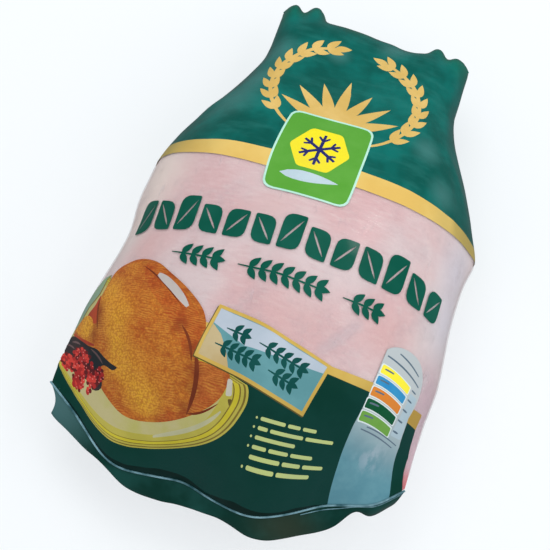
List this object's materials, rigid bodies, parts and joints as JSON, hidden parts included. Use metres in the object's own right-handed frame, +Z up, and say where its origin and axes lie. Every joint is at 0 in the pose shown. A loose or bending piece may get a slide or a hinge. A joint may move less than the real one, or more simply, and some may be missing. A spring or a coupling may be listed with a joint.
{
  "type": "whole raw goose in a printed shrink bag",
  "caption": "Whole raw goose, frozen and shrunk tight into a printed film bag, lying breast up, with a welded end and two leg ends.",
  "frame": {"origin": "middle of the footprint, on the surface that the pack lies on", "axes": "+Y from the welded end of the bag to the leg ends, +Z up through the breast, +X to the right seen from the welded end"},
  "size_m": [0.2744, 0.4198, 0.1591],
  "materials": {
    "printed_film": "shrink film printed dark green, satin gloss",
    "clear_film": "clear shrink film over pale pink skin, satin gloss",
    "goose_skin": "raw goose skin, pale pink, with pores and fat under it",
    "gold_print": "flat gold ink on film",
    "colour_print": "printed fields of colour on film"
  },
  "bodies": {
    "root": {"bagged_goose": "printed_film"}
  },
  "joints": []
}
